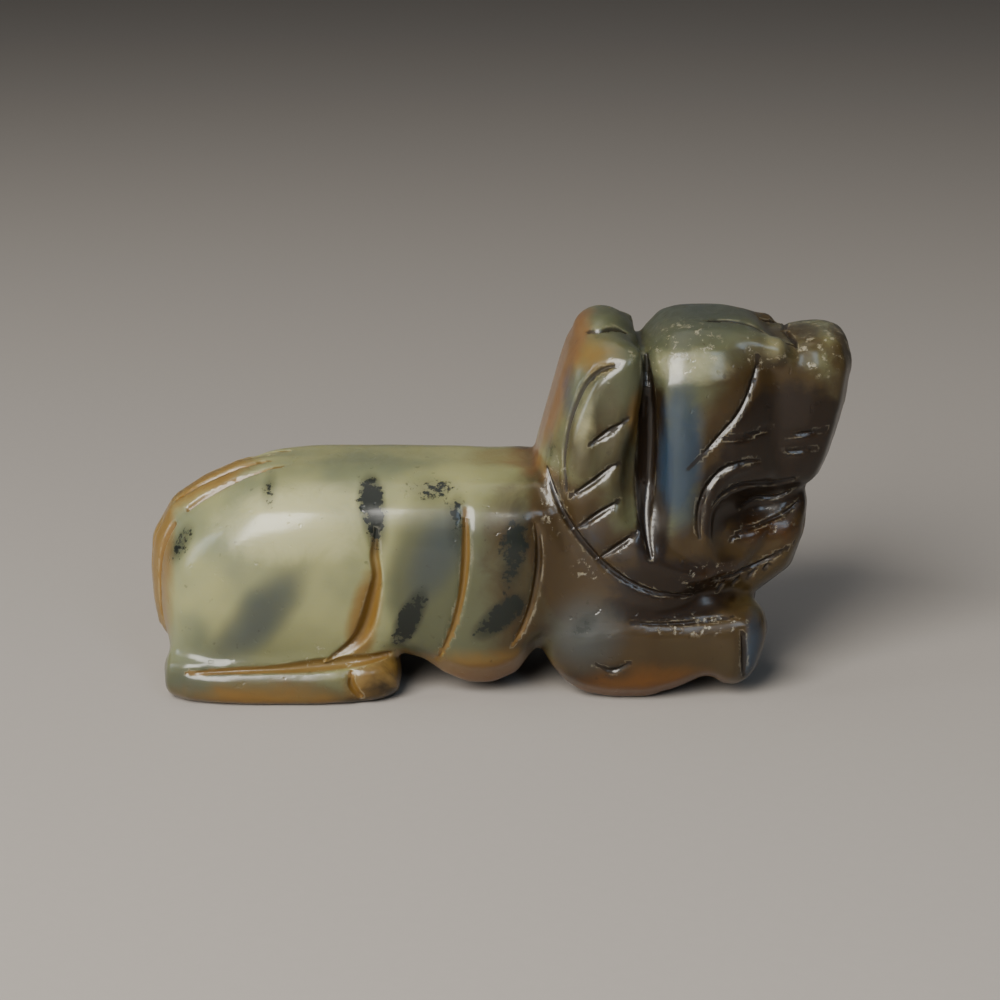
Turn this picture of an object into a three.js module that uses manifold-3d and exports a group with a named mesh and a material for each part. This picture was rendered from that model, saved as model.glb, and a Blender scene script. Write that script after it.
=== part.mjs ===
// A crouching dog, wheel-carved from one pebble of jade, with its chin on its forepaws.
// Millimetres. +X is the way it looks, +Z is up, and the origin is on the ground under its middle.
import * as THREE from 'three';
import { mergeVertices } from 'three/addons/utils/BufferGeometryUtils.js';
import Module from 'manifold-3d';

const wasm = await Module();
wasm.setup();

// The pebble. Places and radii below are hundredths of these: the first number of a place and of a
// half size is a share of LENGTH, the second of WIDTH and the third of HEIGHT.
const LENGTH = 65.6;
const WIDTH = 20.8;
const HEIGHT = 35.1;

// How deep the wheel cuts, in millimetres. Its edge is a right angle, so a cut is twice as wide.
const BROAD_CUT = 0.65;
const FINE_CUT = 0.52;

// A cut has only a trace of its depth over this share of its length at either end.
const RUN_OUT = 0.04;

// The head narrows from the temple to the face, and the face draws back from the eyes to the chin.
// Both are shares of the skull's half sizes, and so are the places where they start and end.
const FACE_TAPER = 0.22;
const TEMPLE = -0.1;
const FACE_TUCK = 0.3;
const EYE_LEVEL = 0.2;
const CHIN_LEVEL = 0.9;

const SIDES = [-1, 1];

const v3 = (x, y, z) => new THREE.Vector3(x, y, z);
const at = (x, y, z) => v3(x * LENGTH, y * WIDTH, z * HEIGHT).divideScalar(100);

// A closed geometry as a solid that can be joined and cut.
function solidOf(geometry) {
  const bare = geometry.index ? geometry.toNonIndexed() : geometry.clone();
  bare.deleteAttribute('normal');
  bare.deleteAttribute('uv');
  const merged = mergeVertices(bare, 1e-4);
  return new wasm.Manifold(new wasm.Mesh({
    numProp: 3,
    vertProperties: merged.getAttribute('position').array,
    triVerts: new Uint32Array(merged.index.array),
  }));
}

function geometryOf(solid) {
  const { vertProperties, triVerts } = solid.getMesh();
  const geometry = new THREE.BufferGeometry();
  geometry.setAttribute('position', new THREE.BufferAttribute(new Float32Array(vertProperties), 3));
  geometry.setIndex(new THREE.BufferAttribute(new Uint32Array(triVerts), 1));
  return geometry;
}

// A swelling between a ball (squareness 2) and a box (large squareness). The shape function moves
// a point of it while it still reaches from -1 to 1.
function swelling({ middle, half, squareness = 2.5, cells = 6, lean = 0, shape = () => {} }) {
  const geometry = new THREE.BoxGeometry(2, 2, 2, cells, cells, cells);
  const position = geometry.getAttribute('position');
  const v = new THREE.Vector3();
  for (let i = 0; i < position.count; i += 1) {
    v.fromBufferAttribute(position, i);
    v.set(Math.tan(v.x * Math.PI / 4), Math.tan(v.y * Math.PI / 4), Math.tan(v.z * Math.PI / 4));
    const reach = Math.abs(v.x) ** squareness + Math.abs(v.y) ** squareness + Math.abs(v.z) ** squareness;
    v.divideScalar(reach ** (1 / squareness));
    shape(v);
    v.multiply(at(...half));
    v.applyAxisAngle(v3(0, 1, 0), lean);
    v.add(at(...middle));
    position.setXYZ(i, v.x, v.y, v.z);
  }
  return solidOf(geometry);
}

// A swelling drawn out along a route in the plane at y. A row of the route is [x, z, half depth
// across the route, half width along y]. The rings of an upright one don't lean with the route.
function limb({ y = 0, route, squareness = 2.3, fullness = 4, rings = 9, sides = 12, upright = false }) {
  const spine = new THREE.CatmullRomCurve3(route.map(([x, z]) => at(x, y, z)), false, 'centripetal');
  const girth = new THREE.CatmullRomCurve3(route.map((row) => at(0, row[3], row[2])), false, 'centripetal');
  const geometry = new THREE.SphereGeometry(1, sides, rings);
  const position = geometry.getAttribute('position');
  const across = v3(0, 1, 0);
  for (let i = 0; i < position.count; i += 1) {
    const pole = THREE.MathUtils.clamp(position.getY(i), -1, 1);
    const t = (1 - pole) / 2;
    const round = (1 - Math.abs(pole) ** fullness) ** (1 / fullness);
    const ring = Math.atan2(position.getZ(i), position.getX(i));
    const c = Math.cos(ring);
    const s = Math.sin(ring);
    const reach = round * (Math.abs(c) ** squareness + Math.abs(s) ** squareness) ** (-1 / squareness);
    const { z: depth, y: width } = girth.getPoint(t);
    const along = upright ? v3(1, 0, 0) : spine.getTangent(t);
    const v = spine.getPoint(t);
    v.addScaledVector(across.clone().cross(along), depth * c * reach);
    v.addScaledVector(across, width * s * reach);
    position.setXYZ(i, v.x, v.y, v.z);
  }
  return solidOf(geometry);
}

// From the rump to the chest.
function body() {
  return limb({
    route: [[-48, 26.8, 18.2, 42.3], [-45.3, 26.5, 21.7, 46.6], [-39.2, 29.9, 26.5, 49],
      [-30, 32.5, 28.5, 50], [-19.4, 33.6, 27.4, 48.6], [-12.7, 35.9, 25.1, 48.1],
      [-8.4, 33.3, 27.6, 48.6], [-3.8, 31.3, 29.6, 49], [1.7, 31.6, 29.3, 49], [6.2, 36.2, 24.8, 47.1],
      [12.7, 36.5, 25.6, 43.7], [21.8, 39.9, 22.8, 37.5]],
    squareness: 3.9, rings: 24, sides: 20, upright: true,
  });
}

function hindFoot(side) {
  return limb({
    y: 28.4 * side,
    route: [[-47.6, 7.4, 9.1, 20.2], [-36.1, 5.7, 7.4, 21.6], [-22.4, 5.7, 7.4, 21.2],
      [-13.4, 6.3, 7.4, 19.2]],
    squareness: 4, rings: 9, sides: 12,
  });
}

function foreleg(side) {
  return limb({
    y: 26.4 * side,
    route: [[6.4, 17.1, 9.7, 19.7], [11.9, 16.8, 16.5, 22.6], [18.8, 16, 17.1, 23.1],
      [25.6, 16.2, 14.2, 20.7], [30.9, 16.2, 10.5, 19.2], [34.6, 14, 12.5, 19.7],
      [37.7, 12.3, 12, 17.8]],
    squareness: 2.7, rings: 14, sides: 14,
  });
}

function chest() {
  return swelling({ middle: [18.8, 0, 35.3], half: [14.3, 44.2, 27.4], squareness: 3.2, cells: 6 });
}

function nape() {
  return limb({
    route: [[15.4, 99.7, 8, 40.4], [14.9, 89.7, 9.7, 41.3], [14.2, 79.8, 11.4, 40.4],
      [13.6, 68.4, 13.1, 40.4], [13.3, 57, 16, 40.4], [13.6, 42.7, 20.5, 40.4]],
    squareness: 3.6, rings: 8, sides: 16, fullness: 6,
  });
}

// The ears hang down the sides and run forward along the jowls.
function ear(side) {
  return limb({
    y: 35.1 * side,
    route: [[17.1, 98, 5.4, 11.5], [16.5, 89.7, 7.1, 12], [14.8, 76.9, 8.3, 12], [13.1, 64.1, 8.5, 12],
      [14.2, 51.9, 8.3, 12], [17.8, 42.5, 7.7, 12], [23.3, 35.9, 6.6, 11.5], [30.6, 32.8, 4.8, 10.1]],
    squareness: 3.2, rings: 14, sides: 12, fullness: 5,
  });
}

function skull() {
  return swelling({
    middle: [29.9, 0, 63.2],
    half: [10.4, 43.7, 36.5],
    squareness: 4.2,
    cells: 8,
    shape: (v) => {
      v.y *= 1 - FACE_TAPER * THREE.MathUtils.smoothstep(v.x, TEMPLE, 1);
      if (v.x > 0) v.x *= 1 - FACE_TUCK * THREE.MathUtils.smoothstep(-v.z, EYE_LEVEL, CHIN_LEVEL);
    },
  });
}

function muzzle() {
  return limb({
    route: [[40.4, 95.2, 15.4, 25], [40.9, 88.3, 17.1, 29.3], [40.1, 76.9, 16.2, 30.3],
      [39, 65.5, 15.1, 29.3], [38, 55.6, 14, 26]],
    squareness: 3.6, rings: 9, sides: 16, fullness: 6,
  });
}

function jaw() {
  return limb({
    route: [[20.3, 34.2, 9.7, 27.9], [30.2, 32.5, 11.4, 29.3], [36.7, 36.5, 11.1, 28.4],
      [41, 45.6, 6.8, 25], [42.7, 56.4, 3.7, 18.8]],
    squareness: 2.8, rings: 9, sides: 14,
  });
}

// What fills the mouth behind its hollows.
function tongue() {
  return swelling({ middle: [38, 0, 52.4], half: [5.2, 16.3, 8.5], squareness: 3, cells: 3 });
}

function brow(side) {
  return limb({
    y: 24 * side,
    route: [[28.7, 95.2, 1.4, 5.8], [32.9, 95.2, 3.1, 9.1], [37.5, 93.4, 3.7, 9.6], [41, 90, 2.8, 6.7]],
    squareness: 2.3, rings: 6, sides: 10,
  });
}

function tail() {
  return limb({
    route: [[-27, 59.3, 2.8, 14.4], [-36.1, 56.1, 4, 17.3], [-42.5, 49.6, 4.3, 18.3],
      [-46.5, 43.3, 4.3, 17.8], [-47.7, 34.2, 4.3, 16.8], [-47.7, 24.2, 4.3, 15.4],
      [-47.4, 15.7, 4, 12], [-46.5, 9.7, 3.1, 8.7]],
    rings: 12, sides: 10,
  });
}

// The face falls away from the cheek to the corner of the mouth.
function cheekHollow(side) {
  return swelling({ middle: [40.1, 47.6 * side, 47.9], half: [11, 17.8, 19.9], squareness: 2.5, cells: 5 });
}

function mouth(side) {
  return swelling({
    middle: [38, 33.7 * side, 52.1], half: [4.7, 18.3, 4.3], squareness: 2.4, cells: 4, lean: -0.35,
  });
}

function chinHollow(side) {
  return swelling({ middle: [28.4, 45.2 * side, 28.5], half: [3, 16.3, 2.3], squareness: 2.4, cells: 3 });
}

const onBothSides = (make) => make(SIDES[0]).add(make(SIDES[1]));

function ground() {
  const block = new THREE.BoxGeometry(3 * LENGTH, 3 * WIDTH, HEIGHT);
  block.translate(0, 0, -HEIGHT / 2);
  return solidOf(block);
}

function uncut() {
  const head = skull().subtract(onBothSides(cheekHollow)).add(muzzle()).add(jaw())
    .subtract(onBothSides(mouth)).add(tongue());
  let dog = body();
  for (const make of [chest, nape, tail]) dog = dog.add(make());
  for (const make of [hindFoot, foreleg, ear, brow]) dog = dog.add(onBothSides(make));
  return dog.add(head).subtract(onBothSides(chinHollow)).subtract(ground());
}

// Each groove is a line drawn on the stone in side view, as [x, z], and cut on both sides.
const DRAWN_FROM_THE_SIDE = [
  { depth: BROAD_CUT, line: [[-16.6, 46.7], [-16.3, 37], [-15.7, 29.1], [-16.3, 21.1], [-21.8, 12.5]] },
  { depth: BROAD_CUT, line: [[-42.8, 10], [-33.1, 10], [-23.9, 11.1], [-14, 12.5]] },
  { depth: FINE_CUT, line: [[-20.3, 9.1], [-19.2, 2.8]], steps: 4 },
  { depth: BROAD_CUT, line: [[-4.7, 53.8], [-4.1, 41.3], [-4.9, 28.5], [-6.9, 17.1], [-8.7, 11.1]] },
  { depth: BROAD_CUT, line: [[5.3, 49], [6.1, 37], [5, 26.8], [2.7, 18.2]] },
  { depth: FINE_CUT, line: [[7.5, 59.8], [10.1, 50.1], [13.3, 41.6], [19.7, 32.5], [29.4, 28.5]] },
  { depth: FINE_CUT, line: [[11.4, 69.5], [17.5, 77.5]], steps: 4 },
  { depth: FINE_CUT, line: [[9.9, 57.5], [16.9, 66.1]], steps: 4 },
  { depth: FINE_CUT, line: [[11, 49], [16.3, 55.6]], steps: 4 },
  { depth: FINE_CUT, line: [[14.2, 41.6], [19.1, 47.9]], steps: 4 },
  { depth: FINE_CUT, line: [[36.1, 89.5], [35.4, 85.2], [33.2, 79.2], [30.3, 71.8], [26.1, 63.8]] },
  { depth: FINE_CUT, line: [[37, 68.9], [34, 67.2], [30.8, 63.8], [28.7, 58.1], [27.6, 51.3], [27.7, 45]] },
  { depth: FINE_CUT, line: [[29.4, 32.2], [32.8, 34.2], [36.4, 36.5], [40.1, 42.2]] },
  { depth: FINE_CUT, line: [[34.5, 19.7], [34.8, 6.6]], steps: 4 },
  { depth: FINE_CUT, line: [[18.1, 22.8], [23.3, 22.5], [28.5, 22.8]] },
];
// These are drawn from above, as [x, y].
const DRAWN_FROM_ABOVE = [
  { depth: FINE_CUT, line: [[28.8, 18.8], [32.5, 16.3], [37, 16.8], [40.4, 22.1]] },
];

// A place this far out, in hundredths, is clear of the stone.
const CLEAR = 300;

// A cutter that runs out to nothing at both ends of its line.
function groove({ line, side, above = false, depth, steps = 8 }, stone, caster) {
  const drawn = new THREE.CatmullRomCurve3(line.map(([x, other]) => v3(x, other, 0)), false, 'centripetal');
  const points = [];
  for (let i = 0; i <= steps; i += 1) {
    const t = i / steps;
    const { x, y: other } = drawn.getPoint(t);
    if (above) caster.set(at(x, other * side, CLEAR), v3(0, 0, -1));
    else caster.set(at(x, CLEAR * side, other), v3(0, -side, 0));
    const [hit] = caster.intersectObject(stone);
    const bite = depth * Math.sqrt(Math.sin(Math.PI * THREE.MathUtils.clamp(t, RUN_OUT, 1 - RUN_OUT)));
    points.push(hit.point.addScaledVector(caster.ray.direction, bite - depth));
  }
  const section = new THREE.Shape([[1, 0], [0, 1], [-1, 0], [0, -1]].map(
    ([a, b]) => new THREE.Vector2(a, b).multiplyScalar(depth),
  ));
  return solidOf(new THREE.ExtrudeGeometry(section, {
    steps,
    extrudePath: new THREE.CatmullRomCurve3(points, false, 'centripetal'),
    bevelEnabled: false,
  }));
}

function grooved(smooth) {
  const stone = new THREE.Mesh(geometryOf(smooth), new THREE.MeshBasicMaterial({ side: THREE.DoubleSide }));
  const caster = new THREE.Raycaster();
  let dog = smooth;
  const lines = [...DRAWN_FROM_THE_SIDE, ...DRAWN_FROM_ABOVE.map((line) => ({ ...line, above: true }))];
  for (const side of SIDES) {
    for (const line of lines) dog = dog.subtract(groove({ ...line, side }, stone, caster));
  }
  return dog;
}

const jade = new THREE.MeshStandardMaterial({ color: 0x8e9168, roughness: 0.25, metalness: 0 });
const figure = new THREE.Mesh(geometryOf(grooved(uncut())), jade);
figure.name = 'jade_dog';

const group = new THREE.Group();
group.add(figure);

export default group;
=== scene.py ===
import math

import bmesh
import bpy
import numpy as np
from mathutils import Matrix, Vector, noise
from mathutils.bvhtree import BVHTree


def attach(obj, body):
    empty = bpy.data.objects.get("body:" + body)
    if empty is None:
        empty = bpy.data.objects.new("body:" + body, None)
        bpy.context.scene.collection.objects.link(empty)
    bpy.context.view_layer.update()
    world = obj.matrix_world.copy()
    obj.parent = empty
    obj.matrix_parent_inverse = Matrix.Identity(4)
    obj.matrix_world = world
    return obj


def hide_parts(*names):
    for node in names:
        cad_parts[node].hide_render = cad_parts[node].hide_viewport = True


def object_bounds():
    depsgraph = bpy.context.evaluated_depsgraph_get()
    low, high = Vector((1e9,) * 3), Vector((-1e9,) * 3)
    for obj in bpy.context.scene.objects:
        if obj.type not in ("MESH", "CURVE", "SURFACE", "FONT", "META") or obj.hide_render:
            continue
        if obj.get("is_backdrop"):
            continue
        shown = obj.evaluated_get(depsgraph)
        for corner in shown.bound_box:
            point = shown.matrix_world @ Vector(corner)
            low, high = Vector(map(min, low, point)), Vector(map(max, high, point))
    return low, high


bl_info = {
    "name": "Jade Dog",
    "version": (1, 0, 0),
    "blender": (4, 5, 0),
    "location": "View3D > Sidebar > Jade Dog",
    "description": "Carves, stains and lights a small jade figure of a crouching dog",
    "category": "Object",
}

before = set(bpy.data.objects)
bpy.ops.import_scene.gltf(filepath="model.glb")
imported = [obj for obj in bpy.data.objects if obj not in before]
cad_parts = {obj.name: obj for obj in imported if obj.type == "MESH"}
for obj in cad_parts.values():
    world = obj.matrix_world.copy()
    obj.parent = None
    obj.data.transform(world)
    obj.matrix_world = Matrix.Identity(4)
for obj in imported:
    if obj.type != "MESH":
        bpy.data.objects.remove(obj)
SOLID = "jade_dog"
CAD_LOW, CAD_HIGH = (Vector(corner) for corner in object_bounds())
LENGTH, WIDTH, HEIGHT = CAD_HIGH - CAD_LOW
MM = 0.001
NEAR, FAR = -1, 1
OUTSIDE = 300  # hundredths, well clear of the stone

# How the skin is smoothed: the share of the way that a corner moves towards the middle of its neighbours, and
# the move back that keeps the stone from shrinking.
SMOOTHING = 0.5
SWELLING = -0.52

# The flat of the flanks: where it ends towards the middle, towards the front and towards the floor, and how
# wide its soft edge is there.
FLANK_OUT, FLANK_OUT_EDGE = 4 * MM, 2 * MM
FLANK_FRONT, FLANK_FRONT_EDGE = 4 * MM, 6 * MM
FLANK_UP, FLANK_UP_EDGE = 4 * MM, 3 * MM

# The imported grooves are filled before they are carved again. The reaches are shares of a cut's half width.
FILLING_REACH = 2.4
FILLING_PASSES = 40
FINER_REACHES = (1.35, 1.1)
FINER_PASSES = 2
TRACK_STEP = 0.12 * MM
LEAST_HALF_WIDTH = 0.05 * MM
SEARCH_REACH = 1.6
STEEPNESS = 0.8  # less than 1 makes the walls of a cut steeper and its bottom rounder

WELD_GAP = 0.001 * MM
WAVES = 190  # of the unevenness, for each metre
HOLLOW_PASSES = 90


def place(x, y, z):
    """A point given in hundredths of the dog's length, width and height."""
    return Vector((x * LENGTH, y * WIDTH, z * HEIGHT)) / 100


# What the wheel cut, on both flanks. A row is the place in hundredths and the half width of the cut there in
# millimetres. From the side a place is (x, z), from above it is (x, y), and from behind or in front it is
# (y, z).
CUTS = [
    {"name": "haunch", "seen": "side", "rows": [
        (-16.6, 49, 0.2), (-16.9, 42, 0.6), (-16.6, 36, 0.65), (-17.2, 29.7, 0.85), (-18.2, 22.6, 0.95),
        (-19.6, 17.8, 0.8), (-22.6, 13.4, 0.5), (-24.6, 11.4, 0.2)]},
    {"name": "top of the hind foot", "seen": "side", "rows": [
        (-44, 8.9, 0.15), (-37.4, 9.9, 0.45), (-31.8, 10.3, 0.5), (-26.3, 11, 0.75),
        (-20.7, 11.8, 0.75), (-15.2, 12.8, 0.4)]},
    {"name": "hind toe", "seen": "side", "rows": [(-20.4, 9.6, 0.2), (-20.3, 6, 0.5), (-19.2, 2.4, 0.4)]},
    {"name": "first rib", "seen": "side", "rows": [
        (-4.6, 55, 0.1), (-4.3, 50, 0.4), (-4.3, 41, 0.55), (-4.8, 32, 0.46), (-5.8, 23.7, 0.38),
        (-7.2, 16.5, 0.3), (-8.7, 10.6, 0.15)]},
    {"name": "second rib", "seen": "side", "rows": [
        (5.1, 52, 0.1), (5.8, 45, 0.4), (5.8, 37.5, 0.5), (5, 28.7, 0.45), (3.9, 22.5, 0.4),
        (2.4, 17, 0.15)]},
    {"name": "hem of the ear", "seen": "side", "rows": [
        (6.9, 63, 0.2), (8, 57, 0.42), (10.1, 49.4, 0.46), (13.4, 41.4, 0.44), (17.4, 35.2, 0.4),
        (21.6, 31.4, 0.34), (27.4, 29, 0.18)]},
    {"name": "rim of the ear", "seen": "side", "rows": [
        (16.6, 92, 0.18), (14.2, 90.6, 0.34), (12.2, 86.8, 0.4), (10.8, 81, 0.4), (9.8, 74.4, 0.4),
        (9.3, 66.6, 0.34), (9.6, 58.7, 0.2)]},
    {"name": "fringe 1", "seen": "side", "rows": [
        (12.4, 70.8, 0.15), (15.2, 74.2, 0.45), (18.2, 78, 0.2)]},
    {"name": "fringe 2", "seen": "side", "rows": [(9.9, 56.9, 0.15), (13, 61, 0.45), (16.9, 66.1, 0.2)]},
    {"name": "fringe 3", "seen": "side", "rows": [
        (10.6, 47.6, 0.15), (13.8, 52.4, 0.45), (17.2, 56.4, 0.2)]},
    {"name": "fringe 4", "seen": "side", "rows": [
        (13.9, 39.8, 0.15), (16.6, 43.6, 0.45), (19.4, 47.6, 0.2)]},
    {"name": "front of the ear", "seen": "side", "rows": [
        (20.6, 92, 0.3), (20.7, 84, 0.75), (20.7, 72, 0.95), (20.5, 60, 0.95), (20.6, 50, 0.7),
        (21.4, 41, 0.25)]},
    {"name": "eye", "seen": "side", "rows": [
        (36, 93.5, 0.12), (35.4, 88, 0.3), (33.5, 79.4, 0.34), (30.2, 71.8, 0.32), (26, 64, 0.12)]},
    {"name": "wrinkle", "seen": "side", "rows": [
        (30.7, 72.3, 0.1), (34.6, 72.6, 0.28), (39.1, 74.3, 0.1)]},
    {"name": "upper whisker", "seen": "side", "rows": [
        (39.6, 71.4, 0.12), (42.8, 71.7, 0.28), (46, 72.3, 0.12)]},
    {"name": "lower whisker", "seen": "side", "rows": [
        (38.4, 66.8, 0.12), (42, 66.9, 0.28), (45.4, 67.7, 0.12)]},
    {"name": "cheek", "seen": "side", "rows": [
        (37.6, 65.2, 0.12), (34.3, 65.4, 0.32), (31.4, 63.4, 0.42), (29.2, 59.6, 0.45),
        (28.1, 54.3, 0.42), (27.9, 49, 0.35), (28.2, 44.6, 0.15)]},
    {"name": "roof of the mouth", "seen": "side", "rows": [
        (29.6, 53.6, 0.12), (31.4, 57, 0.3), (34.6, 58.6, 0.4), (38.4, 57.4, 0.45), (41.6, 58.4, 0.3)]},
    {"name": "lip", "seen": "side", "rows": [
        (32.4, 43, 0.12), (34.8, 45.6, 0.3), (37.8, 46.9, 0.34), (40.9, 49, 0.32), (43, 51.8, 0.12)]},
    {"name": "tongue", "seen": "side", "rows": [
        (34.4, 50.4, 0.12), (36.6, 52.4, 0.28), (39.4, 52.8, 0.28), (42, 54.6, 0.12)]},
    {"name": "jaw", "seen": "side", "rows": [
        (29.8, 33.2, 0.12), (32.9, 33.2, 0.28), (35, 34.6, 0.32), (37.1, 36, 0.32), (39.2, 37.8, 0.3),
        (42, 40.8, 0.12)]},
    {"name": "beard 1", "seen": "side", "rows": [
        (32.1, 32.4, 0.1), (31.6, 30.6, 0.3), (30.9, 28.8, 0.1)]},
    {"name": "beard 2", "seen": "side", "rows": [
        (34.3, 33.2, 0.1), (33.8, 31.4, 0.3), (33.1, 29.8, 0.1)]},
    {"name": "beard 3", "seen": "side", "rows": [
        (36.5, 34.6, 0.1), (35.9, 32.8, 0.3), (35.2, 31.2, 0.1)]},
    {"name": "beard 4", "seen": "side", "rows": [(38.6, 36.2, 0.1), (38, 34.6, 0.3), (37.4, 32.8, 0.1)]},
    {"name": "front toe", "seen": "side", "rows": [
        (34.3, 20.5, 0.15), (34.6, 17, 0.36), (34.8, 12, 0.4), (34.8, 7, 0.2)]},
    {"name": "top of the foreleg", "seen": "side", "rows": [
        (18, 23.4, 0.1), (21.5, 22.8, 0.22), (25.6, 22.6, 0.28), (30.2, 23, 0.24), (33.4, 23.6, 0.1)]},
    {"name": "elbow", "seen": "side", "rows": [(13.8, 12, 0.12), (16.2, 9.9, 0.34), (19, 12.9, 0.12)]},
    {"name": "between ear and nape", "seen": "above", "rows": [
        (12.6, -19, 0.2), (14.2, -22, 0.42), (16, -19.5, 0.45), (18, -17, 0.25)]},
    {"name": "brow", "seen": "above", "rows": [
        (28.8, 18.8, 0.15), (32.5, 16.3, 0.4), (37, 16.8, 0.42), (40.6, 22.5, 0.15)]},
    {"name": "bridge of the nose", "seen": "above", "rows": [
        (40.6, 2, 0.3), (41, 12, 0.42), (41.4, 24, 0.2)]},
    {"name": "nostril", "seen": "front", "rows": [
        (4.2, 85.4, 0.2), (5.8, 85.2, 0.5), (7.8, 84, 0.45), (9, 82, 0.15)]},
    {"name": "parting of the lip", "seen": "front", "rows": [
        (0, 79, 0.12), (0, 73, 0.34), (0, 66, 0.36), (0, 61, 0.15)]},
    {"name": "front of the beard", "seen": "front", "rows": [
        (6, 46, 0.12), (6.6, 42, 0.28), (6, 38, 0.12)]},
    {"name": "side of the beard", "seen": "front", "rows": [
        (14, 47, 0.12), (15, 43, 0.28), (14.4, 39.4, 0.12)]},
    {"name": "edge of the tail", "seen": "above", "rows": [
        (-29, 12.4, 0.15), (-34, 15.6, 0.4), (-39, 17.6, 0.5), (-43.6, 18.4, 0.5)]},
    {"name": "strand of the tail", "seen": "above", "rows": [
        (-31, 4.2, 0.12), (-36, 6.4, 0.35), (-41, 7.2, 0.42), (-45.6, 7.4, 0.3)]},
    {"name": "edge of the hanging tail", "seen": "behind", "rows": [
        (18.8, 45, 0.5), (18.6, 36, 0.5), (17, 26, 0.45), (13, 16, 0.4), (8.6, 9.6, 0.15)]},
    {"name": "strand of the hanging tail", "seen": "behind", "rows": [
        (7.6, 44, 0.35), (7, 34, 0.4), (5.4, 22, 0.36), (2.6, 10, 0.12)]},
]

# Where hand grinding left the stone lower or higher: the middle of a dab and its reach along x, y and z in
# hundredths, and its lift in millimetres. Each is mirrored, and where the two overlap their lifts add up.
DABS = [
    {"name": "cheek ridge", "middle": (25.4, 44, 62), "reach": (2.4, 20, 22), "lift": 0.3},
    {"name": "hollow of the ear", "middle": (14.6, 46, 72), "reach": (2.2, 20, 15), "lift": -0.3},
    {"name": "hollow before the cheek", "middle": (30.6, 44, 68), "reach": (2.4, 20, 12), "lift": -0.25},
    {"name": "hollow of the forearm", "middle": (27, 46, 26), "reach": (5, 20, 3), "lift": -0.25},
    {"name": "channel beside the ear", "middle": (21.6, 44, 66), "reach": (2, 24, 26), "lift": -0.4},
    {"name": "hollow of the mouth", "middle": (36, 40, 51.5), "reach": (6.4, 30, 7), "lift": -0.6},
    {"name": "haunch", "middle": (-29, 50, 42), "reach": (14, 30, 22), "lift": 0.3},
    {"name": "crown of the nape", "middle": (14.4, 0, 101), "reach": (5.6, 26, 12), "lift": 0.4},
    {"name": "crown of the head", "middle": (29, 12, 101), "reach": (9, 36, 12), "lift": 0.2},
    {"name": "brow bump", "middle": (38.6, 26, 93), "reach": (1.8, 8, 5), "lift": 0.3},
]

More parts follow.
